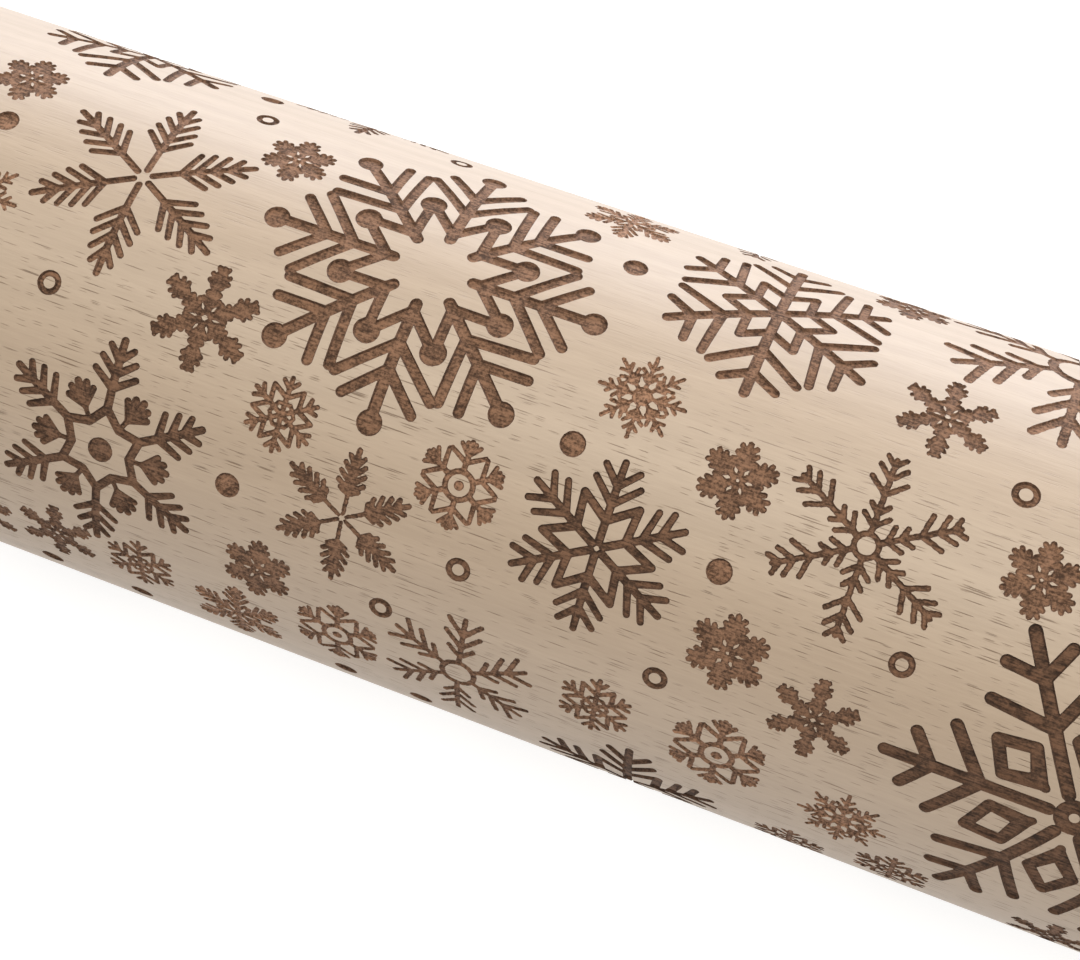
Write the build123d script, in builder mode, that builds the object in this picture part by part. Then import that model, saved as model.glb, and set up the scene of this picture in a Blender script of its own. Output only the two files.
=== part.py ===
from build123d import *

import os

# An embossed rolling pin, in millimetres. The pin lies along X with its middle at x = 0 and its barrel
# resting on z = 0. A steel rod runs through it and is clamped to both handles, and the barrel turns on
# the rod on two ball bearings.

# Barrel
barrel_diameter = 60.0
barrel_length = 250.0
barrel_end_chamfer = 3.0
barrel_bore_clearance = 1.5

# Rod, the spacer tube on it and the collars outside the bearings
rod_diameter = 8.0
rod_end_chamfer = 0.8
spacer_wall = 1.3
spacer_bore_clearance = 0.2
collar_wall = 2.0
collar_edge = 0.3

# Bearings
bearing_diameter = 22.0
bearing_width = 7.0
bearing_edge = 0.3
ball_count = 7
ball_share = 0.567
ball_clearance = 0.03
race_radius_share = 0.52
inner_land_share = 0.36
outer_land_share = 0.44
cage_pocket_clearance = 0.1
cage_wall = 1.9
cage_shield_gap = 0.2
cage_front_share = 0.3
shield_thickness = 0.35
shield_depth = 0.3
shield_seat = 0.65
shield_gap = 0.3

# Barrel caps
cap_thickness = 3.0
cap_rim = 6.0
cap_edge = 0.5
cap_running_gap = 0.5
cap_groove_width = 1.6
cap_groove_depth = 0.6

# Handles
handle_length = 88.0
handle_gap = 1.5
handle_bore_clearance = 0.2
handle_bead_width = 6.0
handle_bead_rise = 1.8
handle_neck_radius = 9.6
handle_belly_radius = 14.5
handle_rim = 3.0
handle_end_rounding = 2.2
neck_share = 0.14
belly_share = 0.6
shoulder_share = 0.9
shoulder_radius_share = 0.45

# Fasteners and plugs inside the handles
nut_across_flats = 13.0
nut_height = 6.5
nut_chamfer = 0.7
washer_diameter = 16.0
washer_thickness = 1.6
rod_overrun = 2.0
socket_clearance = 1.5
plug_length = 7.0
plug_dome = 2.5
plug_room = 6.0

half_turn = 180.0

# Radii that follow from the sizes above
barrel_radius = barrel_diameter / 2
rod_radius = rod_diameter / 2
spacer_bore_radius = rod_radius + spacer_bore_clearance
spacer_radius = spacer_bore_radius + spacer_wall
collar_radius = rod_radius + collar_wall
barrel_bore_radius = spacer_radius + barrel_bore_clearance
bearing_radius = bearing_diameter / 2
pitch_radius = (rod_radius + bearing_radius) / 2
ball_diameter = (bearing_radius - rod_radius) * ball_share
ball_radius = ball_diameter / 2
race_radius = ball_diameter * race_radius_share
inner_land_radius = pitch_radius - ball_diameter * inner_land_share
outer_land_radius = pitch_radius + ball_diameter * outer_land_share
cap_radius = bearing_radius + cap_rim
cap_hole_radius = collar_radius + cap_running_gap
handle_bore_radius = rod_radius + handle_bore_clearance
nut_corner_radius = nut_across_flats / 3**0.5
counterbore_radius = nut_corner_radius + socket_clearance
handle_end_radius = counterbore_radius + handle_rim

# Stations along the right half of the pin, from the middle outwards
barrel_end = barrel_length / 2
bearing_outer_face = barrel_end - cap_thickness
bearing_inner_face = bearing_outer_face - bearing_width
bearing_middle = (bearing_outer_face + bearing_inner_face) / 2
handle_start = barrel_end + handle_gap
handle_end = handle_start + handle_length
plug_start = handle_end - plug_length
rod_end = plug_start - plug_room
nut_end = rod_end - rod_overrun
nut_start = nut_end - nut_height
washer_start = nut_start - washer_thickness

# The pin's own axis, and the plane through it in which the turned profiles are drawn:
# its x runs along the pin and its y is the distance from the axis
pin_axis = Axis((0, 0, barrel_radius), (1, 0, 0))
profile_plane = Plane(origin=(0, 0, barrel_radius), x_dir=(1, 0, 0), z_dir=(0, -1, 0))


def across(station):
    """The plane square to the pin at this station, centred on the pin's axis."""
    return Plane(origin=(station, 0, barrel_radius), x_dir=(0, 1, 0), z_dir=(1, 0, 0))


def tube(start, end, outer_radius, inner_radius, edge=0):
    """A round tube on the pin's axis, with its four rims chamfered by edge."""
    with BuildPart() as made:
        with BuildSketch(across(start)):
            Circle(outer_radius)
            Circle(inner_radius, mode=Mode.SUBTRACT)
        extrude(amount=end - start)
        if edge:
            chamfer(made.edges().filter_by(GeomType.CIRCLE), length=edge)
    return made


def write(made, name):
    """Labels a finished piece and writes its file."""
    made.part.label = name
    export_step(made.part, f"parts/{name}.step")


def write_pair(made, name):
    """Writes a right-hand piece, and the same piece turned half a turn about Z for the left-hand end."""
    with BuildPart() as turned:
        add(made.part, rotation=(0, 0, half_turn))
    write(made, f"{name}_right")
    write(turned, f"{name}_left")


def make_barrel():
    """The beech roller: a through bore, and at each end a bearing seat inside a wider cap seat."""
    with BuildPart() as barrel:
        with BuildSketch(across(-barrel_end)):
            Circle(barrel_radius)
        extrude(amount=barrel_length)
        chamfer(barrel.edges().filter_by(GeomType.CIRCLE), length=barrel_end_chamfer)
        for radius, reach in (
            (barrel_bore_radius, barrel_end),
            (bearing_radius, cap_thickness + bearing_width),
            (cap_radius, cap_thickness),
        ):
            for end in (-barrel_end, barrel_end):
                with BuildSketch(across(end)):
                    Circle(radius)
                extrude(amount=-reach if end > 0 else reach, mode=Mode.SUBTRACT)
    return barrel


def make_rod():
    """The steel rod from nut to nut."""
    with BuildPart() as rod:
        with BuildSketch(across(-rod_end)):
            Circle(rod_radius)
        extrude(amount=2 * rod_end)
        chamfer(rod.edges().filter_by(GeomType.CIRCLE), length=rod_end_chamfer)
    return rod


def make_race(bottom_radius, side):
    """The space of a ball groove whose bottom lies at this radius. Side is 1 where it opens inwards."""
    with BuildPart() as race:
        with BuildSketch(profile_plane):
            with Locations((bearing_middle, bottom_radius - side * race_radius)):
                Circle(race_radius)
        revolve(axis=pin_axis)
    return race


def make_outer_ring():
    """The bearing's outer ring, with its ball groove and a step at each side for a shield."""
    with BuildPart() as ring:
        add(tube(bearing_inner_face, bearing_outer_face, bearing_radius, outer_land_radius).part)
        chamfer(
            ring.edges().filter_by(GeomType.CIRCLE).sort_by(SortBy.RADIUS)[-2:],
            length=bearing_edge,
        )
        add(make_race(pitch_radius + ball_radius + ball_clearance, 1).part, mode=Mode.SUBTRACT)
        for face, inward in ((bearing_inner_face, 1), (bearing_outer_face, -1)):
            with BuildSketch(across(face)):
                Circle(outer_land_radius + shield_seat)
            extrude(amount=inward * (shield_depth + shield_thickness), mode=Mode.SUBTRACT)
    return ring


def make_inner_ring():
    """The bearing's inner ring, with its ball groove."""
    with BuildPart() as ring:
        add(tube(bearing_inner_face, bearing_outer_face, inner_land_radius, rod_radius, bearing_edge).part)
        add(make_race(pitch_radius - ball_radius - ball_clearance, -1).part, mode=Mode.SUBTRACT)
    return ring


def make_balls():
    """The bearing's balls, evenly spaced on the pitch circle."""
    with BuildPart(across(bearing_middle)) as balls:
        with PolarLocations(pitch_radius, ball_count):
            Sphere(ball_radius)
    return balls


def make_cage():
    """The snap cage: a ring with a closed back and a pocket for each ball, open to the front."""
    pocket_radius = ball_radius + cage_pocket_clearance
    back = bearing_inner_face + shield_depth + shield_thickness + cage_shield_gap
    front = bearing_middle + ball_diameter * cage_front_share
    with BuildPart() as cage:
        add(tube(back, front, pitch_radius + cage_wall / 2, pitch_radius - cage_wall / 2).part)
        with Locations(across(bearing_middle)):
            with PolarLocations(pitch_radius, ball_count):
                Sphere(pocket_radius, mode=Mode.SUBTRACT)
    return cage


def make_shield(start):
    """A thin steel disc in the outer ring's step, clear of the inner ring."""
    return tube(
        start, start + shield_thickness, outer_land_radius + shield_seat, inner_land_radius + shield_gap
    )


def make_cap():
    """The nylon cap in the barrel's end, with a turned groove in its outer face."""
    groove_radius = (cap_radius + cap_hole_radius) / 2
    with BuildPart() as cap:
        add(tube(bearing_outer_face, barrel_end, cap_radius, cap_hole_radius).part)
        with BuildSketch(across(barrel_end)):
            Circle(groove_radius + cap_groove_width / 2)
            Circle(groove_radius - cap_groove_width / 2, mode=Mode.SUBTRACT)
        extrude(amount=-cap_groove_depth, mode=Mode.SUBTRACT)
        outer_rims = cap.edges().filter_by(GeomType.CIRCLE).group_by(Axis.X)[-1].sort_by(SortBy.RADIUS)
        chamfer([outer_rims[0], outer_rims[-1]], length=cap_edge)
    return cap


def make_handle():
    """The turned handle: a bead by the barrel, a slim neck, a full belly and a rounded outer end."""
    bead_foot_radius = handle_neck_radius + handle_bead_rise / 2
    belly_fall = handle_belly_radius - handle_end_radius
    shoulder_radius = handle_end_radius + shoulder_radius_share * belly_fall
    bead_end = handle_start + handle_bead_width
    with BuildPart() as handle:
        with BuildSketch(profile_plane):
            with BuildLine():
                ThreePointArc(
                    (handle_start, bead_foot_radius),
                    (handle_start + handle_bead_width / 2, bead_foot_radius + handle_bead_rise),
                    (bead_end, bead_foot_radius),
                )
                Spline(
                    (bead_end, bead_foot_radius),
                    (handle_start + handle_length * neck_share, handle_neck_radius),
                    (handle_start + handle_length * belly_share, handle_belly_radius),
                    (handle_start + handle_length * shoulder_share, shoulder_radius),
                    (handle_end, handle_end_radius),
                )
                Polyline(
                    (handle_end, handle_end_radius),
                    (handle_end, handle_bore_radius),
                    (handle_start, handle_bore_radius),
                    (handle_start, bead_foot_radius),
                )
            make_face()
        revolve(axis=pin_axis)
        end_rim = handle.edges().filter_by(GeomType.CIRCLE).group_by(Axis.X)[-1].sort_by(SortBy.RADIUS)[-1]
        fillet(end_rim, radius=handle_end_rounding)
        with BuildSketch(across(handle_end)):
            Circle(counterbore_radius)
        extrude(amount=washer_start - handle_end, mode=Mode.SUBTRACT)
    return handle


def make_nut():
    """The hexagon nut, with its corners turned off at both faces."""
    with BuildPart() as nut:
        with BuildSketch(across(nut_start)):
            RegularPolygon(nut_across_flats / 2, 6, major_radius=False)
        extrude(amount=nut_height)
        add(tube(nut_start, nut_end, nut_corner_radius, rod_radius, nut_chamfer / 2).part, mode=Mode.INTERSECT)
    return nut


def make_plug():
    """The beech button in the handle's end: a plain shank with a domed head."""
    with BuildPart() as plug:
        with BuildSketch(profile_plane):
            with BuildLine():
                Polyline(
                    (handle_end, counterbore_radius), (plug_start, counterbore_radius), (plug_start, 0),
                    (handle_end + plug_dome, 0),
                )
                TangentArc(
                    (handle_end + plug_dome, 0), (handle_end, counterbore_radius), tangent=(0, 1)
                )
            make_face()
        revolve(axis=pin_axis)
    return plug


os.makedirs("parts", exist_ok=True)

write(make_barrel(), "barrel")
write(make_rod(), "axle_rod")
write(tube(-bearing_inner_face, bearing_inner_face, spacer_radius, spacer_bore_radius), "spacer_tube")
write_pair(make_outer_ring(), "bearing_outer_ring")
write_pair(make_inner_ring(), "bearing_inner_ring")
write_pair(make_balls(), "bearing_balls")
write_pair(make_cage(), "bearing_cage")
write_pair(make_shield(bearing_inner_face + shield_depth), "bearing_shield_inner")
write_pair(make_shield(bearing_outer_face - shield_depth - shield_thickness), "bearing_shield_outer")
write_pair(make_cap(), "barrel_cap")
write_pair(tube(bearing_outer_face, handle_start, collar_radius, rod_radius, collar_edge), "thrust_collar")
write_pair(make_handle(), "handle")
write_pair(tube(washer_start, nut_start, washer_diameter / 2, handle_bore_radius), "washer")
write_pair(make_nut(), "handle_nut")
write_pair(make_plug(), "handle_plug")

print("overall length", 2 * (handle_end + plug_dome))
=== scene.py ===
"""Dresses the rolling pin: the engraved and scorched barrel, the turned handles, the metals and the stage.

The pin lies along X with its barrel resting on z = 0. Lengths are in millimetres until they go into a mesh,
but for those of the floor, the lights and the camera, which are in metres. The engraving is laid out on the
barrel's wall unrolled flat: x runs along the pin, and s is the length round the wall from the line that
faces the camera, towards the back of the pin.
"""

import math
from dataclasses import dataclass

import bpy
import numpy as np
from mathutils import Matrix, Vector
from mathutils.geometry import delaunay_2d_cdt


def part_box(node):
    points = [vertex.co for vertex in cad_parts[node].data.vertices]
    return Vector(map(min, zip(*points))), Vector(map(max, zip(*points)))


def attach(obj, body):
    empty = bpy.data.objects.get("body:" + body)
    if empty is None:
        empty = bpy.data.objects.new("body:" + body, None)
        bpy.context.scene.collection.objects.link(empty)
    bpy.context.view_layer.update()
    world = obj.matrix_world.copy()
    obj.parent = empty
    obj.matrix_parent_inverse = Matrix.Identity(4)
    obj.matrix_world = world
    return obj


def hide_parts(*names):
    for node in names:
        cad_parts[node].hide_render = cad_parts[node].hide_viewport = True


bl_info = {
    "name": "Snowflake rolling pin",
    "version": (1, 0, 0),
    "blender": (4, 5, 0),
    "location": "3D View > Sidebar > Rolling pin",
    "description": "Engraves the barrel of a rolling pin and gives its woods and metals their finish",
    "category": "Object",
}

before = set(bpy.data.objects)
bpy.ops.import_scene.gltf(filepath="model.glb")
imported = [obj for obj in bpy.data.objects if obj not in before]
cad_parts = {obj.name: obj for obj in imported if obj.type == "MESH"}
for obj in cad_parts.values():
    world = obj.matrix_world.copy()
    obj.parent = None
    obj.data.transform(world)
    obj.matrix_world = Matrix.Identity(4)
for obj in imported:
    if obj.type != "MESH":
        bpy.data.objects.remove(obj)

MM = 0.001
FULL_TURN = 2 * math.pi


def from_frame(node):
    """A construction piece's lowest and highest corners, in millimetres."""
    low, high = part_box(node)
    return np.array(low) / MM, np.array(high) / MM


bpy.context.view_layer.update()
BARREL_LOW, BARREL_HIGH = from_frame("barrel")
WALL_RADIUS = (BARREL_HIGH[2] - BARREL_LOW[2]) / 2
AXIS_HEIGHT = WALL_RADIUS
BARREL_END = BARREL_HIGH[0]
ROUND = FULL_TURN * WALL_RADIUS


# Settings


def number_setting(name, description, value, **kind):
    """A number setting."""
    return bpy.props.FloatProperty(name=name, description=description, default=value, **kind)


def length_setting(name, description, millimetres):
    """A length setting, kept in metres."""
    return number_setting(name, description, millimetres * MM, unit="LENGTH", precision=5)


def angle_setting(name, description, degrees):
    """An angle setting, kept in radians."""
    return number_setting(name, description, math.radians(degrees), subtype="ANGLE")


def colour_setting(name, description, shade):
    """A colour setting, as linear red, green and blue."""
    return bpy.props.FloatVectorProperty(
        name=name, description=description, default=shade, subtype="COLOR", min=0, max=1
    )


class PinEngraving(bpy.types.PropertyGroup):
    """The sizes of the cut figures."""

    deep: length_setting("Deep cut", "Depth of the large figures", 0.35)
    shallow: length_setting("Shallow cut", "Depth of the small figures", 0.22)
    slope: length_setting("Wall slope", "How far a cut's wall leans in", 0.16)
    seed: bpy.props.IntProperty(
        name="Layout seed", description="Which layout the unphotographed wall gets", default=7, min=0
    )


class PinColours(bpy.types.PropertyGroup):
    """The woods, the scorch marks, the metals, the nylons and the floor."""

    beech: colour_setting("Beech", "Sanded raw beech", (0.43, 0.334, 0.257))
    handle: colour_setting("Handle beech", "Oiled beech", (0.43, 0.31, 0.2))
    scorch: colour_setting("Scorch", "The cuts' floors", (0.092, 0.046, 0.026))
    # The cuts' wall colour: partly the char of the burn, partly painted shade in the cuts' recesses
    char: colour_setting("Char", "The cuts' walls and darkest streaks", (0.05, 0.025, 0.016))
    ground_steel: colour_setting("Ground steel", "The bearings' rings and balls", (0.6, 0.6, 0.61))
    rod_steel: colour_setting("Rod steel", "The rod and its collars", (0.58, 0.58, 0.59))
    zinc: colour_setting("Zinc plate", "The shields, tube, washers and nuts", (0.68, 0.69, 0.68))
    cap_nylon: colour_setting("Cap nylon", "The barrel's end caps", (0.78, 0.75, 0.68))
    cage_nylon: colour_setting("Cage nylon", "The bearings' cages", (0.72, 0.66, 0.52))
    floor: colour_setting("Floor", "The stage's floor", (0.3, 0.3, 0.3))


class PinLight(bpy.types.PropertyGroup):
    """The studio: an overhead softbox, a wide one low behind the pin, the room and the lit floor."""

    overhead: number_setting("Overhead", "Power of the overhead softbox", 14.6)
    behind: number_setting("Behind", "Power of the softbox behind the pin", 25.7)
    room: number_setting("Room", "Brightness of the room", 0.03)
    glow: number_setting("Floor glow", "Brightness of the floor's own light", 0.84)


class PinCamera(bpy.types.PropertyGroup):
    """Where the photograph was taken from."""

    lens: number_setting("Lens", "Focal length on a sensor 36 mm wide", 75.05, subtype="DISTANCE_CAMERA")
    along: length_setting("Along", "Place along the pin", 42.0)
    distance: length_setting("Distance", "Distance from the pin's axis", 252.2)
    lift: angle_setting("Lift", "Angle from straight above towards the front", 30.0)
    pitch: angle_setting("Pitch", "Angle that it looks down by", 59.03)
    heading: angle_setting("Heading", "Angle that it looks left by", 22.65)
    shift: number_setting("Shift", "Sideways shift of the frame, as a share of its width", 0.0648)


# The figures. An arm is drawn along +y as bars of millimetres: two ends and a half width at each. A bar
# off the arm's middle line stands on both sides of it.


def bar(x0, y0, x1, y1, start, end=None):
    """One bar of an arm, which may taper."""
    return (x0, y0, x1, y1, start, start if end is None else end)


def spot(x, y, radius):
    """A round spot."""
    return bar(x, y, x, y, radius)


def twigs(steps, start, end):
    """Side bars that leave the arm's middle line at root and reach aside at height top."""
    return [bar(0, root, aside, top, start, end) for root, aside, top in steps]


def between(bars, arms=6):
    """Bars drawn along the line half-way to the next arm, turned into the arm's own frame. The arms' mirror
    images give them their other side."""
    c, s = math.cos(math.pi / arms), math.sin(math.pi / arms)
    return [
        bar(x0 * c + y0 * s, y0 * c - x0 * s, x1 * c + y1 * s, y1 * c - x1 * s, start, end)
        for x0, y0, x1, y1, start, end in bars
    ]


@dataclass
class Figure:
    """A figure's reach from centre to tip, its arms, the spot and the ring in its middle, whether it is cut
    deep, and how lightly it is burnt, from 0 to 1."""

    reach: float
    arms: int
    bars: list
    hub: float = 0.0
    ring: tuple = ()
    deep: bool = False
    pale: float = 0.0

    def strokes(self, reach, turn):
        """All its bars at this reach: each is mirrored across its arm, then carried round the centre."""
        rows = np.array(self.bars, float).reshape(-1, 6)
        aside = rows[np.abs(rows[:, 0]) + np.abs(rows[:, 2]) > 0]
        rows = np.concatenate([rows, aside * (-1, 1, -1, 1, 1, 1)])
        turned = []
        for arm in range(self.arms):
            angle = turn + FULL_TURN * arm / self.arms
            c, s = math.cos(angle), math.sin(angle)
            x0, y0, x1, y1, start, end = rows.T
            ends = [c * x0 - s * y0, s * x0 + c * y0, c * x1 - s * y1, s * x1 + c * y1]
            turned.append(np.stack([*ends, start, end], 1))
        turned.append(np.array([spot(0, 0, self.hub)] if self.hub else [], float).reshape(-1, 6))
        return np.concatenate(turned) * reach / self.reach

    def band(self, reach):
        """Its ring's radius and half width at this reach."""
        return np.array(self.ring) * reach / self.reach


FIGURES = {
    "ball_star": Figure(
        18.35, 8,
        [bar(0, 4.15, 0, 16.6, 0.62), spot(0, 16.6, 1.3), spot(3.4, 8.35, 1.3)]
        + twigs([(4.9, 3.4, 8.35), (8.35, 4.95, 12.95), (11.15, 3.6, 14.7)], 0.57, 0.57),
        deep=True, pale=0.45,
    ),
    "broad_star": Figure(
        18.6, 6,
        [bar(0, 2.4, 0, 17.8, 0.66)]
        + twigs([(13.4, 2.95, 15.6), (8.8, 4.9, 12.5)], 0.64, 0.64)
        + between([
            bar(0, 4.6, 2.05, 7.25, 0.8, 0.62), bar(0, 10.1, 2.05, 7.25, 0.62), bar(0, 3.8, 0, 4.6, 0.45, 0.8),
        ]),
        ring=(1.2, 0.7), deep=True,
    ),
    "fan_star": Figure(
        12.4, 6,
        [bar(0, 4.6, 0, 12.0, 0.5, 0.44), bar(0, 4.7, 1.63, 2.82, 0.5)]
        + twigs([(6.9, 2.28, 8.5), (8.4, 1.88, 9.95), (9.9, 1.3, 11.25)], 0.46, 0.38)
        + between([
            bar(0, 3.3, 0, 4.8, 0.28), bar(0, 4.6, 0, 7.5, 0.3, 0.45),
            bar(0.1, 4.8, 0.88, 7.15, 0.28, 0.42), bar(0.15, 4.9, 1.42, 6.4, 0.28, 0.4),
        ]),
        hub=1.4, deep=True, pale=0.22,
    ),
    "rhombus_star": Figure(
        11.7, 6,
        [bar(0, 0, 0, 11.3, 0.56), bar(0, 3.15, 2.72, 4.72, 0.5)]
        + twigs([(8.75, 2.75, 10.3), (5.7, 4.42, 8.83)], 0.54, 0.5),
        deep=True, pale=0.45,
    ),
    "petal_star": Figure(
        9.0, 6,
        [bar(0, 0.66, 0, 8.5, 0.43, 0.38), bar(0, 2.8, 2.73, 4.74, 0.44, 0.42)]
        + twigs([(4.35, 2.2, 6.5), (6.15, 1.7, 7.9)], 0.4, 0.36),
        deep=True, pale=0.15,
    ),
    "fern": Figure(
        11.2, 6,
        [bar(0, 0.93, 0, 10.75, 0.37)]
        + twigs([(3.7, 2.15, 5.75), (5.1, 1.95, 7.05), (6.6, 1.58, 8.42), (8.2, 1.07, 9.72)], 0.37, 0.34),
        deep=True, pale=0.5,
    ),
    "ring_fern": Figure(
        9.15, 6,
        [bar(0, 1.15, 0, 8.65, 0.32, 0.29)]
        + twigs([(1.9, 1.2, 2.95), (3.12, 0.87, 4.03), (5.05, 1.68, 6.5)], 0.3, 0.28)
        + twigs([(6.62, 1.28, 7.88), (7.95, 0.88, 8.9)], 0.3, 0.28),
        ring=(1.13, 0.29), pale=0.3,
    ),
    "ring_pairs": Figure(
        8.2, 6,
        [bar(0, 1.6, 0, 7.62, 0.3, 0.28)]
        + twigs([(2.65, 1.24, 3.9), (3.97, 1.74, 5.8), (5.55, 1.64, 7.4)], 0.3, 0.28),
        ring=(1.64, 0.31), pale=0.5,
    ),
    "leaf_fern": Figure(
        7.7, 6,
        [bar(0, 0.48, 0, 2.9, 0.22, 0.26), bar(0, 2.9, 0, 7.2, 0.48, 0.3)]
        + twigs([(2.7, 0.95, 3.1), (2.9, 1.32, 3.85), (3.7, 1.25, 4.78)], 0.36, 0.28)
        + twigs([(4.6, 1.05, 5.68), (5.5, 0.76, 6.5)], 0.36, 0.28),
        pale=0.4,
    ),
    "knobby": Figure(
        5.7, 6,
        [
            bar(0, 0.68, 0, 3.4, 0.42, 0.5), bar(0, 3.7, 0, 5.2, 0.9, 0.52), bar(0, 1.1, 0.9, 1.95, 0.36, 0.3),
            bar(0, 1.9, 0.62, 2.6, 0.34), bar(0, 3.5, 1.0, 3.9, 0.3), bar(0, 3.9, 0.92, 4.6, 0.3),
            bar(0, 4.7, 0.52, 5.4, 0.3),
        ],
        pale=0.4,
    ),
    "small_fern": Figure(
        5.3, 6,
        [bar(0, 0.35, 0, 4.95, 0.32, 0.3)]
        + twigs([(1.0, 0.95, 2.1), (2.0, 1.25, 3.4), (3.0, 0.95, 4.1), (3.8, 0.6, 4.7)], 0.3, 0.26),
        pale=0.95,
    ),
    "ring_lace": Figure(
        4.75, 6,
        [bar(0, 1.5, 0, 4.5, 0.31, 0.27)]
        + twigs([(2.35, 1.78, 3.38), (3.12, 0.98, 4.12), (3.85, 0.42, 4.32)], 0.29, 0.25),
        hub=0.52, ring=(1.43, 0.3), pale=0.8,
    ),
    "dense_star": Figure(
        4.7, 8,
        [bar(0, 0, 0, 4.65, 0.22, 0.24)]
        + twigs([(1.55, 0.72, 2.25), (2.2, 1.0, 3.0), (3.1, 0.68, 3.78)], 0.24, 0.22),
        ring=(0.85, 0.24), pale=0.95,
    ),
    "lace": Figure(
        3.9, 6,
        [bar(0, 0, 0, 3.68, 0.27, 0.26), bar(0.64, 1.1, -0.64, 1.1, 0.22)]
        + twigs([(1.7, 1.52, 2.66), (2.6, 0.74, 3.32)], 0.28, 0.25),
        hub=0.5, pale=0.7,
    ),
    "leafy": Figure(
        3.95, 6,
        [bar(0, 0.5, 0, 3.65, 0.36, 0.32)]
        + twigs([(1.1, 1.05, 1.95), (1.7, 0.95, 2.7), (2.5, 0.7, 3.4)], 0.35, 0.29),
        pale=0.5,
    ),
    "dot": Figure(1.35, 1, [], hub=1.35, deep=True, pale=0.6),
    "ring": Figure(1.35, 1, [], ring=(1.0, 0.35), deep=True, pale=0.35),
}

# The figures that the photograph shows: a kind, and for each of it the x from the camera's place along the
# pin, the s and the reach
SEEN = [
    ("ball_star", [(-56.8, 15.9, 19.7)]), ("broad_star", [(21.6, -15.9, 20.0)]),
    ("fern", [(-90.0, 15.2, 12.4)]), ("fan_star", [(-84.4, -14.8, 12.8)]),
    ("rhombus_star", [(-22.2, 25.8, 12.3), (-101.6, 41.0, 12.3)]),
    ("petal_star", [(-30.6, -6.2, 9.6), (-22.0, -41.0, 11.5)]),
    ("ring_fern", [(-5.7, 3.0, 9.8)]), ("leaf_fern", [(-56.8, -12.5, 8.1)]),
    ("ring_pairs", [(-41.6, -27.5, 9.0), (8.7, 35.0, 15.6)]),
    ("small_fern", [(-41.3, 35.9, 5.6), (-67.7, -32.8, 5.8)]),
    ("leafy", [
        (-108.0, 23.6, 4.1), (-76.3, 24.9, 4.1), (-19.6, 4.9, 4.2), (11.0, 5.5, 4.1), (-15.0, -11.9, 4.4),
        (-9.9, 38.6, 4.5), (-65.1, -22.9, 4.2),
    ]),
    ("knobby", [
        (-77.1, 2.6, 5.9), (-2.6, 19.1, 5.2), (-5.0, -15.7, 4.8), (-89.6, -29.7, 4.9), (25.0, -38.2, 5.0),
    ]),
    ("lace", [(-65.9, -4.2, 4.2), (-26.5, -24.5, 4.3), (-79.3, -29.8, 4.4), (7.4, -36.1, 4.4)]),
    ("ring_lace", [(-45.9, -4.9, 4.9), (-55.6, -28.9, 5.2), (-13.1, -25.0, 5.5)]),
    ("dense_star", [(-31.5, 9.9, 4.6), (0.9, -28.1, 4.6), (-106.1, 7.2, 4.8)]),
    ("dot", [
        (-107.1, 16.5, 1.35), (-37.9, 25.5, 1.35), (-36.3, 2.9, 1.35), (-18.3, -4.2, 1.35), (-69.7, -13.5, 1.4),
        (-85.2, 37.8, 1.35), (-91.9, -37.7, 1.35), (-55.3, -38.0, 1.35), (-80.7, -38.4, 1.35),
        (-46.3, -38.5, 1.35),
    ]),
    ("ring", [
        (-82.7, 30.7, 1.3), (-61.8, 37.1, 1.3), (-94.5, 0.7, 1.35), (-43.6, -13.5, 1.35), (-50.9, -21.7, 1.35),
        (-21.2, -17.6, 1.35), (1.3, -6.8, 1.35), (7.0, 13.3, 1.45),
    ]),
    ("fern", [(-74.0, 46.3, 11.0)]), ("ring_fern", [(-27.9, 49.0, 11.0)]), ("lace", [(-3.6, -39.5, 4.4)]),
    ("knobby", [(-99.4, -31.0, 4.6)]),
]
TURNS = {"broad_star": math.radians(30)}

# The large figures on the rest of the wall: kind, x from the middle of the pin, s, and reach
UNSEEN = [
    ("fern", 101.0, 8.9, 12.4), ("fan_star", 100.0, -19.1, 12.8), ("broad_star", 97.0, -53.9, 20.0),
    ("petal_star", 98.0, 38.0, 11.5), ("broad_star", -98.0, 8.1, 20.0), ("rhombus_star", -103.0, -27.0, 12.3),
    ("ball_star", -88.0, -57.1, 18.5), ("ball_star", -101.0, 69.9, 19.7), ("petal_star", -63.0, 68.1, 11.5),
    ("fern", -62.0, 92.9, 12.0), ("broad_star", -22.0, 80.1, 20.0), ("rhombus_star", 18.0, 75.9, 12.3),
    ("ball_star", 58.0, 74.1, 19.7), ("fan_star", 98.0, 72.0, 12.8), ("petal_star", -54.0, -58.1, 11.5),
    ("ring_pairs", -20.0, -60.0, 14.5), ("fan_star", 56.0, -60.0, 12.8),
]

# What is thrown at the room that they leave, the largest first: kind, least reach, most reach, how many at
# most, and the room that it keeps round it
REST = [
    ("petal_star", 8.6, 9.6, 4, 0.6), ("ring_fern", 8.8, 9.8, 5, 0.6), ("leaf_fern", 7.6, 8.6, 9, 0.6),
    ("ring_pairs", 8.0, 9.2, 10, 0.6), ("small_fern", 5.2, 6.0, 16, 0.6), ("knobby", 4.8, 5.9, 26, 0.6),
    ("ring_lace", 4.7, 5.5, 26, 0.6), ("dense_star", 4.4, 4.9, 26, 0.6), ("lace", 3.9, 4.4, 36, 0.6),
    ("leafy", 3.9, 4.5, 60, 0.6), ("dot", 1.3, 1.4, 60, 1.1), ("ring", 1.3, 1.4, 60, 1.1),
]


# The engraved wall


CHAMFER = 3.0
SHEET_END = BARREL_END - CHAMFER
ROUND_SIDES = 96
LATTICE_COLUMNS = 49
SEAM_ROOM = 0.7
EDGE_ROOM = 2.0
PICTURE_ROOM = 0.005
TRIES = 260


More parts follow.
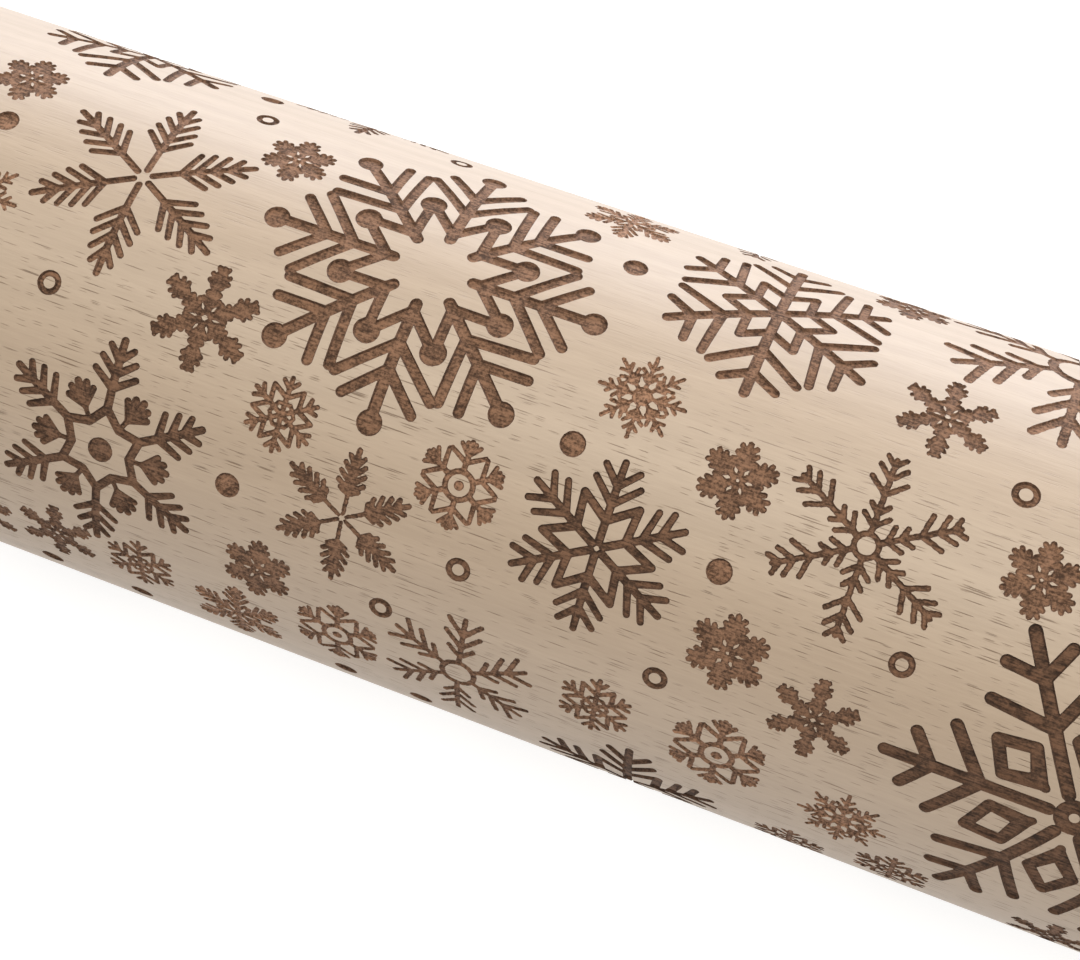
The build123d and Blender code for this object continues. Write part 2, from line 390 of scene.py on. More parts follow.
def seam():
    """The s of the wall's lowest line, along which the sheet's lower and upper edges meet."""
    return WALL_RADIUS * (bpy.context.scene.pin_camera.lift - math.pi)


def round_lines():
    """The s of each of the lines along which the round wall bends, from the lowest one on."""
    return seam() + ROUND * np.arange(ROUND_SIDES) / ROUND_SIDES


def wrap(x, s, radius):
    """Sheet to space: the angle is the arc length over the wall's radius, less the camera's lift, and y and z
    are the sine and cosine of it about the pin's axis."""
    angle = s / WALL_RADIUS - bpy.context.scene.pin_camera.lift
    return np.stack([x, radius * np.sin(angle), AXIS_HEIGHT + radius * np.cos(angle)], -1) * MM


def in_picture(x, s):
    """Whether points of the wall lie in the photograph's frame and face the camera."""
    shot = bpy.context.scene.pin_camera
    place, turn = camera_pose(shot)
    point = wrap(x, s, WALL_RADIUS)
    outward = point - np.array([0, 0, AXIS_HEIGHT]) * MM
    outward[..., 0] = 0
    ray = point - np.array(place)
    seen = ray @ np.array(turn)
    scale = shot.lens / SENSOR_WIDTH / -seen[..., 2]
    across = seen[..., 0] * scale - shot.shift
    up = seen[..., 1] * scale
    half_height = 0.5 * PICTURE_HEIGHT / PICTURE_WIDTH
    framed = (np.abs(across) < 0.5 + PICTURE_ROOM) & (np.abs(up) < half_height + PICTURE_ROOM)
    return framed & (np.sum(ray * outward, -1) < 0)


def figure_layout():
    """The photographed figures and the other large ones, then the rest of the wall: centres thrown at random,
    kept where the figure stays on the sheet, out of the picture and clear of every figure already down."""
    settings = bpy.context.scene.pin_engraving
    along = bpy.context.scene.pin_camera.along / MM
    seen = [(kind, x + along, s, reach) for kind, places in SEEN for x, s, reach in places]
    laid = [(*row, TURNS.get(row[0], 0.0)) for row in seen + UNSEEN]
    spots = np.array([row[1:4] for row in laid])
    rng = np.random.default_rng(settings.seed)
    edge_angle = np.linspace(0, FULL_TURN, 24, endpoint=False)
    for kind, least, most, count, room in REST:
        reach = rng.uniform(least, most, TRIES)
        x = rng.uniform(-1, 1, TRIES) * (SHEET_END - EDGE_ROOM - reach)
        s = seam() + reach + SEAM_ROOM + rng.uniform(0, 1, TRIES) * (ROUND - 2 * (reach + SEAM_ROOM))
        turn = rng.choice([0.0, 0.0, 0.26, 0.52], TRIES)
        rim_x = x[:, None] + reach[:, None] * np.cos(edge_angle)
        rim_s = s[:, None] + reach[:, None] * np.sin(edge_angle)
        hidden = ~in_picture(rim_x, rim_s).any(1)
        added = 0
        for k in np.flatnonzero(hidden):
            off = np.abs((spots[:, 1] - s[k] + ROUND / 2) % ROUND - ROUND / 2)
            if (np.hypot(spots[:, 0] - x[k], off) < spots[:, 2] + reach[k] + room).any():
                continue
            laid.append((kind, x[k], s[k], reach[k], turn[k]))
            spots = np.vstack([spots, (x[k], s[k], reach[k])])
            added += 1
            if added == count:
                break
    return laid


# The field's value away from every bar, the grid's room round a figure, and the ripple's height
FAR_OUTSIDE = 0.6
MARGIN = 0.5
RAGGED = 0.05


def ragged(xs, ys):
    """A ripple over a grid, from -1 to 1: the product of two sines along x and s whose phases sway with the
    other direction, with waves a little over half a millimetre long."""
    x, y = xs[None, :], ys[:, None]
    return np.sin(9.7 * x + 1.9 * np.sin(4.3 * y)) * np.sin(10.9 * y + 2.3 * np.sin(3.7 * x))


def cut_field(strokes, bands, xs, ys):
    """How far each point of a grid lies outside the cut, negative inside it: the least, over all bars, of the
    distance to the bar's middle line less its half width there, and, over all rings, of how far the distance
    from the ring's centre is from its radius, less its half width."""
    field = np.full((len(ys), len(xs)), FAR_OUTSIDE)
    for x0, y0, x1, y1, start, end in strokes:
        reach = max(start, end) + MARGIN
        i0, i1 = np.searchsorted(xs, [min(x0, x1) - reach, max(x0, x1) + reach])
        j0, j1 = np.searchsorted(ys, [min(y0, y1) - reach, max(y0, y1) + reach])
        across, up = xs[None, i0:i1] - x0, ys[j0:j1, None] - y0
        dx, dy = x1 - x0, y1 - y0
        along = np.clip((across * dx + up * dy) / max(dx * dx + dy * dy, 1e-9), 0, 1)
        away = np.hypot(across - along * dx, up - along * dy) - (start + along * (end - start))
        field[j0:j1, i0:i1] = np.minimum(field[j0:j1, i0:i1], away)
    for x, y, radius, half in bands:
        away = np.abs(np.hypot(xs[None, :] - x, ys[:, None] - y) - radius) - half
        field = np.minimum(field, away)
    return field


# For each way in which a cell's corners lie inside, the sides that an outline enters and leaves by, with the
# inside on its left: 0 below, 1 right, 2 above, 3 left
CELL_PATHS = {
    1: [(0, 3)], 2: [(1, 0)], 3: [(1, 3)], 4: [(2, 1)], 5: [(0, 3), (2, 1)], 6: [(2, 0)], 7: [(2, 3)],
    8: [(3, 2)], 9: [(0, 2)], 10: [(1, 0), (3, 2)], 11: [(1, 2)], 12: [(3, 1)], 13: [(0, 1)], 14: [(3, 0)],
}


def outlines(field, level, xs, ys):
    """The closed outlines where the field equals level, by marching squares: each crossing is found on a grid
    side by linear interpolation, and crossings are chained cell by cell."""
    rows, columns = field.shape
    inside = field < level
    code = inside[:-1, :-1] + 2 * inside[:-1, 1:] + 4 * inside[1:, 1:] + 8 * inside[1:, :-1]
    upright = rows * columns
    follow = {}
    for case, paths in CELL_PATHS.items():
        j, i = np.nonzero(code == case)
        here = j * columns + i
        side = (here, upright + here + 1, here + columns, upright + here)
        for enter, leave in paths:
            follow.update(zip(side[enter].tolist(), side[leave].tolist()))
    found = []
    while follow:
        first, here = follow.popitem()
        chain = [first]
        while here != first:
            chain.append(here)
            here = follow.pop(here)
        side = np.array(chain)
        stands = side >= upright
        j, i = np.divmod(np.where(stands, side - upright, side), columns)
        j2, i2 = j + stands, i + ~stands
        low, high = field[j, i], field[j2, i2]
        share = (level - low) / (high - low)
        found.append(np.stack([xs[i] + share * (xs[i2] - xs[i]), ys[j] + share * (ys[j2] - ys[j])], 1))
    return found


def thinned(outline, tolerance):
    """The points of a closed outline that a chord would miss by more than the tolerance."""
    count = len(outline)
    closed = np.vstack([outline, outline[:1]])
    far = int(np.argmax(np.hypot(*(outline - outline[0]).T)))
    keep = {0, far}
    spans = [(0, far), (far, count)]
    while spans:
        a, b = spans.pop()
        if b - a < 2:
            continue
        chord = closed[b] - closed[a]
        offset = closed[a + 1:b] - closed[a]
        away = np.abs(offset[:, 0] * chord[1] - offset[:, 1] * chord[0]) / math.hypot(*chord)
        k = int(np.argmax(away))
        if away[k] > tolerance:
            keep.add(a + 1 + k)
            spans += [(a, a + 1 + k), (a + 1 + k, b)]
    return closed[sorted(keep)]


LONGEST_ROUND = 2.0


def divided(outline):
    """A closed outline whose sides go at most a little way round the wall each, so that they bend with it."""
    after = np.roll(outline, -1, 0)
    pieces = np.ceil(np.abs(after[:, 1] - outline[:, 1]) / LONGEST_ROUND).astype(int).clip(1)
    index = np.repeat(np.arange(len(outline)), pieces)
    share = (np.arange(len(index)) - np.repeat(np.cumsum(pieces) - pieces, pieces)) / pieces[index]
    return outline[index] + share[:, None] * (after - outline)[index]


class Sheet:
    """The unrolled wall: points with a level, 0 on the wall and 1 on a cut's floor, and the sides that its
    triangles must keep."""

    def __init__(self):
        self.points, self.levels, self.depths, self.pales, self.sides = [], [], [], [], []
        self.count = 0
        self.fields = []

    def add(self, points, level, depth=0.0, pale=0.0, joined=True):
        """Adds points, joined into a closed outline or loose. Depth and pale are for all or one for each."""
        index = self.count + np.arange(len(points))
        if joined:
            self.sides.append(np.stack([index, np.roll(index, -1)], 1))
        self.points.append(points)
        for kept, value in ((self.levels, level), (self.depths, depth), (self.pales, pale)):
            kept.append(np.full(len(points), value, float))
        self.count += len(points)

    def field_at(self, points):
        """The cut field at any points of the sheet: the nearest grid value of each figure near them."""
        value = np.full(len(points), FAR_OUTSIDE)
        for xs, ys, field in self.fields:
            low, high = (xs[0], ys[0]), (xs[-1], ys[-1])
            near = np.flatnonzero(((points > low) & (points < high)).all(1))
            i = np.rint((points[near, 0] - xs[0]) / (xs[1] - xs[0])).astype(int)
            j = np.rint((points[near, 1] - ys[0]) / (ys[1] - ys[0])).astype(int)
            value[near] = np.minimum(value[near], field[j, i])
        return value


GRID_STEP = 0.1
FINE_TOLERANCE = 0.03
COARSE_TOLERANCE = 0.07
OFF_THE_GRID = 1e-6


def meets(row, other):
    """Whether the circles round two figures of the layout overlap."""
    return math.hypot(row[1] - other[1], row[2] - other[2]) < row[3] + other[3]


def joined_figures(laid):
    """The layout in groups: figures whose arms may meet are cut as one."""
    groups = []
    for row in laid:
        touching = [g for g in groups if any(meets(row, other) for other in g)]
        merged = [row] + [other for g in touching for other in g]
        groups = [g for g in groups if not any(g is t for t in touching)] + [merged]
    return groups


def engrave(sheet, group, settings):
    """Adds a group's outlines: its rim, and its floor's edge where the wall's slope meets the floor. A point
    takes its depth and its burn from the figure that it is nearest to, as a share of that figure's reach."""
    figures = [FIGURES[row[0]] for row in group]
    strokes, bands = [], []
    for figure, (_, x, s, reach, turn) in zip(figures, group):
        strokes.append(figure.strokes(reach, turn) + (x, s, x, s, 0, 0))
        if figure.ring:
            bands.append((x, s, *figure.band(reach)))
    centres = np.array([row[1:4] for row in group])
    depths = np.array([settings.deep if figure.deep else settings.shallow for figure in figures]) / MM
    pales = np.array([figure.pale for figure in figures])
    low = (centres[:, :2] - centres[:, 2:]).min(0) - MARGIN
    high = (centres[:, :2] + centres[:, 2:]).max(0) + MARGIN
    shown = in_picture(centres[:, 0], centres[:, 1]).any()
    xs = np.arange(low[0], high[0] + GRID_STEP, GRID_STEP)
    ys = np.arange(low[1], high[1] + GRID_STEP, GRID_STEP)
    field = cut_field(np.concatenate(strokes), bands, xs, ys)
    if shown and not any(figure.deep for figure in figures):
        field += RAGGED * ragged(xs, ys) * (field < FAR_OUTSIDE)
    sheet.fields.append((xs, ys, field))
    tolerance = FINE_TOLERANCE if shown else COARSE_TOLERANCE
    slope = settings.slope / MM
    for level, value in ((0, 0.0), (1, -slope)):
        for outline in outlines(field, value + OFF_THE_GRID, xs, ys):
            outline = thinned(outline, tolerance)
            if len(outline) > 2:
                outline = divided(outline)
                away = np.hypot(outline[:, :1] - centres[:, 0], outline[:, 1:] - centres[:, 1]) / centres[:, 2]
                own = away.argmin(1)
                sheet.add(outline, level, depths[own], pales[own])


CLEAR_OF_CUTS = 0.35


def lattice(sheet):
    """Adds the sheet's edge and the points of an even lattice inside it, left out close to a cut."""
    columns = np.linspace(-SHEET_END, SHEET_END, LATTICE_COLUMNS + 1)
    rows = round_lines()[1:]
    lower = np.stack([columns, np.full(len(columns), seam())], 1)
    upper = lower[::-1] + (0, ROUND)
    right = np.stack([np.full(len(rows), SHEET_END), rows], 1)
    left = np.stack([np.full(len(rows), -SHEET_END), rows[::-1]], 1)
    sheet.add(np.concatenate([lower, right, upper, left]), 0)
    x, s = np.meshgrid(columns[1:-1], rows)
    points = np.stack([x.ravel(), s.ravel()], 1)
    sheet.add(points[sheet.field_at(points) > CLEAR_OF_CUTS], 0, joined=False)


NEAREST = 0.006
SAME_PLACE = NEAREST / 3
FLOOR_SHARE = 0.6
CROSSING_PALE = 0.5


def triangulated(sheet):
    """The sheet's triangles, with its points' levels: a constrained Delaunay triangulation that keeps every
    outline, and in which points nearer than NEAREST become one. A point where two outlines cross is on the
    floor if the field there is well below the wall."""
    points = np.concatenate(sheet.points)
    sides = np.concatenate(sheet.sides)
    found = delaunay_2d_cdt([Vector(p) for p in points.tolist()], sides.tolist(), [], 0, NEAREST, True)
    at = np.array([(v.x, v.y) for v in found[0]])
    faces = np.array(found[2])
    source = np.array([ids[0] if ids else -1 for ids in found[3]])
    settings = bpy.context.scene.pin_engraving
    crossing = (
        (sheet.levels, sheet.field_at(at) < -settings.slope / MM * FLOOR_SHARE),
        (sheet.depths, settings.shallow / MM),
        (sheet.pales, CROSSING_PALE),
    )
    level, depth, pale = (np.where(source >= 0, np.concatenate(own)[source], other) for own, other in crossing)
    a, b, c = at[faces[:, 0]], at[faces[:, 1]], at[faces[:, 2]]
    area = (b[:, 0] - a[:, 0]) * (c[:, 1] - a[:, 1]) - (b[:, 1] - a[:, 1]) * (c[:, 0] - a[:, 0])
    faces[area < 0] = faces[area < 0][:, ::-1]
    return at, faces, level, depth, pale, (a + b + c) / 3


CAP_LOW, CAP_HIGH = from_frame("barrel_cap_right")
RING_LOW, RING_HIGH = from_frame("bearing_outer_ring_right")
CAP_SEAT_RADIUS = (CAP_HIGH[2] - CAP_LOW[2]) / 2
BEARING_SEAT_RADIUS = (RING_HIGH[2] - RING_LOW[2]) / 2
BORE_RADIUS = 7.0
EDGE_ROUND = 0.35 / 3
IN_CUT = -0.06


def rounded(corners, radius, steps=4):
    """A profile whose inner corners are replaced by arcs of this radius: an arc starts and ends on the two
    sides at the same distance from the corner, radius times the tangent of half the turn."""
    made = [corners[0]]
    for before, corner, after in zip(corners, corners[1:], corners[2:]):
        corner = np.array(corner, float)
        into = (corner - before) / math.hypot(*(corner - before))
        out = (after - corner) / math.hypot(*(after - corner))
        turn = math.acos(float(np.clip(into @ out, -1, 1)))
        reach = radius * math.tan(turn / 2)
        side = math.copysign(1, into[0] * out[1] - into[1] * out[0])
        centre = corner - into * reach + radius * side * np.array([-into[1], into[0]])
        spoke = corner - into * reach - centre
        for k in range(steps + 1):
            angle = side * turn * k / steps
            c, s = math.cos(angle), math.sin(angle)
            made.append((centre[0] + c * spoke[0] - s * spoke[1], centre[1] + s * spoke[0] + c * spoke[1]))
    made.append(corners[-1])
    return np.array(made, float)


def turned_surface(profile, angles):
    """A surface of revolution: every point of the profile, given as a place along the pin and a radius, is
    carried round the axis to each angle. Returns points and quads, the profile's direction first."""
    x, radius = profile[:, 0], profile[:, 1]
    points = np.stack([
        np.repeat(x, len(angles)),
        np.outer(radius, np.sin(angles)).ravel(),
        AXIS_HEIGHT + np.outer(radius, np.cos(angles)).ravel(),
    ], 1) * MM
    row = np.arange(len(profile) - 1)[:, None] * len(angles)
    here = np.arange(len(angles))[None, :]
    after = (here + 1) % len(angles)
    quads = np.stack([row + here, row + len(angles) + here, row + len(angles) + after, row + after], -1)
    return points, quads.reshape(-1, 4)


def mesh_object(name, points, faces, material, smooth=True):
    """A new object at the origin with these points and faces."""
    mesh = bpy.data.meshes.new(name)
    mesh.from_pydata(points.tolist(), [], faces)
    mesh.materials.append(material)
    mesh.polygons.foreach_set("use_smooth", np.full(len(mesh.polygons), smooth))
    mesh.update()
    made = bpy.data.objects.new(name, mesh)
    bpy.context.scene.collection.objects.link(made)
    return made


def place_keys(points):
    """Whole numbers that points in the same place share."""
    return np.rint(points / (SAME_PLACE * MM)).astype(np.int64)


def barrel_mesh(material):
    """The closed barrel: the engraved sheet wrapped round the axis, and at each end the chamfer, the cap's
    seat, the bearing's seat and the bore, turned with as many sides as the sheet's end has."""
    settings = bpy.context.scene.pin_engraving
    sheet = Sheet()
    for group in joined_figures(figure_layout()):
        engrave(sheet, group, settings)
    lattice(sheet)
    at, faces, level, depth, pale, middle = triangulated(sheet)
    corner_levels = level[faces].sum(1)
    floor = corner_levels == 3
    wall = ~floor & ((corner_levels > 0) | (sheet.field_at(middle) < IN_CUT))
    skin = wrap(at[:, 0], at[:, 1], WALL_RADIUS - depth * level)

    # The seam's two copies and the sheet's two ends meet the turned ends at the same places
    unique, first, merged = np.unique(place_keys(skin), axis=0, return_index=True, return_inverse=True)
    merged = merged.reshape(-1)
    skin = skin[first]
    faces = merged[faces]
    whole = (faces != np.roll(faces, 1, 1)).all(1)
    faces, floor, wall = faces[whole], floor[whole], wall[whole]

    angles = -math.pi + FULL_TURN * np.arange(ROUND_SIDES) / ROUND_SIDES
    seat = BARREL_END - (CAP_HIGH[0] - CAP_LOW[0])
    end_profile = rounded([
        (SHEET_END, WALL_RADIUS), (BARREL_END, WALL_RADIUS - CHAMFER), (BARREL_END, CAP_SEAT_RADIUS),
        (seat, CAP_SEAT_RADIUS), (seat, BEARING_SEAT_RADIUS), (RING_LOW[0], BEARING_SEAT_RADIUS),
        (RING_LOW[0], BORE_RADIUS), (0.0, BORE_RADIUS),
    ], EDGE_ROUND)
    profile = np.concatenate([end_profile, end_profile[-2::-1] * (-1, 1)])
    ends, quads = turned_surface(profile, angles)
    # The profile's first and last rings are the sheet's own ends
    lookup = {tuple(key): n for n, key in enumerate(unique.tolist())}
    rings = []
    for x in (SHEET_END, -SHEET_END):
        ring = wrap(np.full(ROUND_SIDES, x), round_lines(), WALL_RADIUS)
        rings.append([lookup[tuple(key)] for key in place_keys(ring).tolist()])
    inner = ends[ROUND_SIDES:-ROUND_SIDES]
    remap = np.concatenate([rings[0], len(skin) + np.arange(len(inner)), rings[1]])
    quads = remap[quads]
    points = np.concatenate([skin, inner])
    made = mesh_object("engraved_barrel", points, faces.tolist() + quads.tolist(), material)
    shade_barrel(made.data, points, faces, quads, floor, wall, pale[first])
    return made


def shade_barrel(mesh, points, faces, quads, floor, wall, pale):
    """Gives the barrel its normals and its cut attribute. The land and the floors have the wall's own radial
    normals. A cut's walls have the mean of their faces' normals at each point, and the turned ends their
    own. The attribute's red is 1 in a cut, its green 1 on a cut's wall, and its blue is how lightly a cut is
    burnt."""
    radial = points - np.array([0, 0, AXIS_HEIGHT]) * MM
    radial[:, 0] = 0
    radial /= np.linalg.norm(radial, axis=1)[:, None]
    a, b, c = points[faces[:, 0]], points[faces[:, 1]], points[faces[:, 2]]
    facing = np.cross(b - a, c - a)
    wall_normal = np.zeros_like(points)
    for k in range(3):
        np.add.at(wall_normal, faces[wall][:, k], facing[wall])
    wall_normal /= np.maximum(np.linalg.norm(wall_normal, axis=1)[:, None], 1e-15)
    corner = np.where(wall[:, None, None], wall_normal[faces], radial[faces])
    a, b, c, d = (points[quads[:, k]] for k in range(4))
    flat = np.cross(c - a, d - b)
    flat /= np.linalg.norm(flat, axis=1)[:, None]
    # A turned end is smooth round the pin and flat along its profile
    spokes = radial[quads]
    outward = np.sum(flat * spokes.mean(1), 1)
    end_corner = flat[:, None, 0:1] * np.array([1.0, 0, 0]) + spokes * outward[:, None, None]
    end_corner /= np.linalg.norm(end_corner, axis=2)[:, :, None]
    normals = np.concatenate([corner.reshape(-1, 3), end_corner.reshape(-1, 3)])
    mesh.normals_split_custom_set(normals.tolist())
    shade = np.zeros((3 * len(faces) + 4 * len(quads), 4))
    shade[:, 3] = 1
    engraved = shade[: 3 * len(faces)]
    engraved[:, 0] = np.repeat(floor | wall, 3)
    engraved[:, 1] = np.repeat(wall, 3)
    engraved[:, 2] = pale[faces.ravel()]
    cut = mesh.color_attributes.new("cut", "FLOAT_COLOR", "CORNER")
    cut.data.foreach_set("color", shade.ravel())


# Shader maths


def add_node(tree, kind, settings=None, output=0, **inputs):
    """Adds any node: its settings first, then the values or links of its inputs, which go by their names, with
    _ for spaces, or by their numbers, as input_0."""
    made = tree.nodes.new(kind)
    for name, value in (settings or {}).items():
        setattr(made, name, value)
    for name, value in inputs.items():
        count = name.removeprefix("input_")
        fill(made.inputs[int(count) if count.isdigit() else name.replace("_", " ")], value)
    return Socket(tree, made.outputs[output])


def fill(target, value):
    """Links an input to a socket, or sets its value."""
    if isinstance(value, Socket):
        value.tree.links.new(value.output, target)
    else:
        target.default_value = value


class Socket:
    """A node's output, with the arithmetic that the materials use."""

    def __init__(self, tree, output):
        self.tree = tree
        self.output = output

    def node(self, kind, settings=None, output=0, **inputs):
        """Adds a node beside this value's own."""
        return add_node(self.tree, kind, settings, output, **inputs)

    def maths(self, operation, other=None, swapped=False, clamp=False):
        """One Math node on this value, and on the other if there is one."""
        first, second = (other, self) if swapped else (self, other)
        values = {"input_0": first} if second is None else {"input_0": first, "input_1": second}
        return self.node("ShaderNodeMath", {"operation": operation, "use_clamp": clamp}, **values)

    def __add__(self, other):
        return self.maths("ADD", other)

    def __radd__(self, other):
        return self.maths("ADD", other, swapped=True)

    def __sub__(self, other):
        return self.maths("SUBTRACT", other)

    def __rsub__(self, other):
        return self.maths("SUBTRACT", other, swapped=True)

    def __mul__(self, other):
        return self.maths("MULTIPLY", other)

    def __rmul__(self, other):
        return self.maths("MULTIPLY", other, swapped=True)

    def __pow__(self, other):
        return self.maths("POWER", other)

    def clamped(self):
        """This value between 0 and 1."""
        return self.maths("ADD", 0.0, clamp=True)

    def ramp(self, low, high):
        """0 at low and 1 at high, eased between."""
        return self.node(
            "ShaderNodeMapRange", {"interpolation_type": "SMOOTHSTEP"}, Value=self, From_Min=low, From_Max=high
        )

    def part(self, name):
        """Another output of this value's node."""
        return Socket(self.tree, self.output.node.outputs[name])

    def mix(self, first, second):
        """First where this value is 0 and second where it is 1, as colours."""
        first, second = (shade if isinstance(shade, Socket) else (*shade, 1.0) for shade in (first, second))
        return self.node("ShaderNodeMix", {"data_type": "RGBA"}, 2, input_0=self, input_6=first, input_7=second)

    def scaled(self, x, y, z):
        """This vector with each axis scaled."""
        return self.node("ShaderNodeVectorMath", {"operation": "MULTIPLY"}, input_0=self, input_1=(x, y, z))

    def noise(self, size, detail=2.0, rough=0.5):
        """Noise about as large as size, from 0 to 1, where this vector is in millimetres."""
        return self.node(
            "ShaderNodeTexNoise", {"noise_dimensions": "3D"}, Vector=self, Scale=1 / size, Detail=detail,
            Roughness=rough,
        )


class Finish:
    """A material being made: its surface shader and where on the piece it is, in millimetres."""

    def __init__(self, name):
        self.material = bpy.data.materials.new(name)
        self.material.use_nodes = True
        self.tree = self.material.node_tree
        self.surface = self.tree.nodes["Principled BSDF"]
        place = add_node(self.tree, "ShaderNodeTexCoord", output="Object")
        self.place = place.scaled(1 / MM, 1 / MM, 1 / MM)

    def set(self, **inputs):
        """Sets or links the surface shader's inputs."""
        for name, value in inputs.items():
            fill(self.surface.inputs[name.replace("_", " ")], value)

    def bump(self, height, distance):
        """Links a height from 0 to 1 to the surface's normal, as a relief this many millimetres deep."""
        self.set(Normal=self.place.node("ShaderNodeBump", Height=height, Distance=distance * MM, Strength=1.0))

    def attribute(self, name):
        """A colour attribute of the mesh."""
        return add_node(self.tree, "ShaderNodeAttribute", {"attribute_name": name}, "Color")


def tinted(shade, *factors):
    """A colour with each channel scaled, by one factor or by three."""
    return tuple(min(1.0, c * f) for c, f in zip(shade, factors if len(factors) == 3 else factors * 3))


def dashes(place, length, width, share):
    """Short dashes along X: the space is divided into stretched cells, a random share of the cells hold a
    dash, and the value falls from 1 in a dash to 0 a third of a cell away from the cell's own point."""
    stretched = place.scaled(1 / length, 1 / width, 1 / width)
    cell = stretched.node("ShaderNodeTexVoronoi", {"feature": "F1"}, Vector=stretched, Scale=1.0)
    lot = cell.node("ShaderNodeSeparateColor", Color=cell.part("Color"))
    return (1.0 - cell.ramp(0.2, 0.45)) * lot.ramp(1 - share, 1 - share + 0.01)


FLAT_SIDE = math.radians(-60)
PITH_AWAY = 62.0
YEAR = 2.6


def beech_grain(place):
    """The pattern of beech along X: fine streaks, slow bands with the year rings in them, and the short dark
    dashes of its rays, as three values from 0 to 1. A year ring is a wave of the distance from the tree's
    pith, a line along X beyond the pin. The dashes show on the flat-sawn sides: their strength is the squared
    cosine of the angle about the axis from the middle of such a side."""
    streak = place.scaled(0.06, 1.0, 1.0).noise(0.3, 3.0, 0.65)
    band = place.scaled(0.05, 1.0, 1.0).noise(3.5, 2.0, 0.5)
    split = place.node("ShaderNodeSeparateXYZ", Vector=place)
    y, z = split.part("Y"), split.part("Z") - AXIS_HEIGHT
    facing = y * math.sin(FLAT_SIDE) + z * math.cos(FLAT_SIDE)
    aside = y * math.cos(FLAT_SIDE) - z * math.sin(FLAT_SIDE)
    pith = ((facing + PITH_AWAY) ** 2 + aside ** 2).maths("SQRT") + band * 3.0
    band = band * 0.7 + ((pith * (FULL_TURN / YEAR)).maths("SINE") * 0.5 + 0.5) * 0.3
    flat = (facing ** 2 * (y ** 2 + z ** 2 + 0.01) ** -1).ramp(0.05, 0.75)
    dash = dashes(place, 3.4, 0.13, 0.12) + dashes(place, 6.0, 0.17, 0.06) + dashes(place, 1.8, 0.1, 0.12) * 0.7
    return streak, band, dash.clamped() * (flat * 0.85 + 0.15)


def engraved_beech():
    """Raw sanded beech with its cuts scorched: floors in streaks along the grain where the soft wood burnt
    deeper, with blotches and specks, lighter in the lightly burnt figures, and walls darker with char and
    with painted shade for the cuts' recesses."""
    colours = bpy.context.scene.pin_colours
    finish = Finish("engraved_beech")
    place = finish.place
    streak, band, dash = beech_grain(place)
    beech, scorch, char = tuple(colours.beech), tuple(colours.scorch), tuple(colours.char)
    fibre = (streak * 0.55 + band * 0.45).ramp(0.25, 0.75)
    wood = fibre.mix(tinted(beech, 0.93, 0.92, 0.91), tinted(beech, 1.06))
    wood = (dash * 0.9).mix(wood, tinted(beech, 0.45, 0.38, 0.32))
    cut = finish.attribute("cut")
    parts = cut.node("ShaderNodeSeparateColor", Color=cut)
    burnt, wall, pale = parts.part("Red"), parts.part("Green"), parts.part("Blue")
    lines = place.scaled(0.14, 1.0, 1.0).noise(0.28, 3.0, 0.7)
    blotch = place.noise(1.6, 2.0, 0.5)
    speck = place.noise(0.32, 2.0, 0.65)
    tone = lines * (0.5 - pale * 0.2) + blotch * (0.25 - pale * 0.1) + speck * (0.25 + pale * 0.3)
    tone = tone.ramp(0.38, 0.62)
    dark = tone.mix(tinted(scorch, 0.3, 0.28, 0.26), tinted(scorch, 1.75, 1.8, 1.85))
    light = tone.mix(tinted(scorch, 0.8, 0.76, 0.72), tinted(scorch, 4.0, 4.4, 4.8))
    # The walls take up to 40 % of the wall colour, less in lightly burnt figures: char, and painted shade for
    # the cut's recess
    burn = (wall * (0.4 - pale * 0.3)).mix(pale.mix(dark, light), char)
    finish.set(Base_Color=burnt.mix(wood, burn), Roughness=0.5 + burnt * 0.45, Specular_IOR_Level=0.5)
    height = (streak * 0.3 + (1.0 - dash) * 0.5) * (1.0 - burnt) + (lines * 0.6 + speck * 0.6) * burnt
    finish.bump(height, 0.07)
    return finish.material


def handle_beech():
    """Turned and oiled beech: the same grain, deeper in colour, with the faint rings of the lathe's cut."""
    base = tuple(bpy.context.scene.pin_colours.handle)
    finish = Finish("handle_beech")
    streak, band, dash = beech_grain(finish.place)
    fibre = (streak * 0.5 + band * 0.5).ramp(0.2, 0.8)
    wood = fibre.mix(tinted(base, 0.86, 0.82, 0.78), tinted(base, 1.06))
    wood = (dash * 0.65).mix(wood, tinted(base, 0.5, 0.42, 0.36))
    finish.set(Base_Color=wood, Roughness=0.4 + streak * 0.12, Coat_Weight=0.2, Coat_Roughness=0.3)
    split = finish.place.node("ShaderNodeSeparateXYZ", Vector=finish.place)
    lathe = (split.part("X") * 14.0).maths("SINE") * 0.5 + 0.5
    finish.bump(lathe * 0.3 + streak * 0.7, 0.02)
    return finish.material


def turned_steel(name, shade, rough, ring_size):
    """Steel with the fine concentric marks of turning or grinding about the pin's axis."""
    finish = Finish(name)
    split = finish.place.node("ShaderNodeSeparateXYZ", Vector=finish.place)
    y, z = split.part("Y"), split.part("Z") - AXIS_HEIGHT
    radius = (y ** 2 + z ** 2).maths("SQRT")
    turned = split.node("ShaderNodeCombineXYZ", X=split.part("X"), Y=radius, Z=0.0)
    marks = turned.noise(ring_size, 2.0, 0.6)
    smudge = finish.place.noise(4.0, 2.0)
    finish.set(
        Base_Color=smudge.ramp(0.2, 0.8).mix(tinted(shade, 0.9), tinted(shade, 1.0)),
        Metallic=1.0,
        Roughness=rough + marks * 0.16,
    )
    finish.bump(marks, 0.008)
    return finish.material


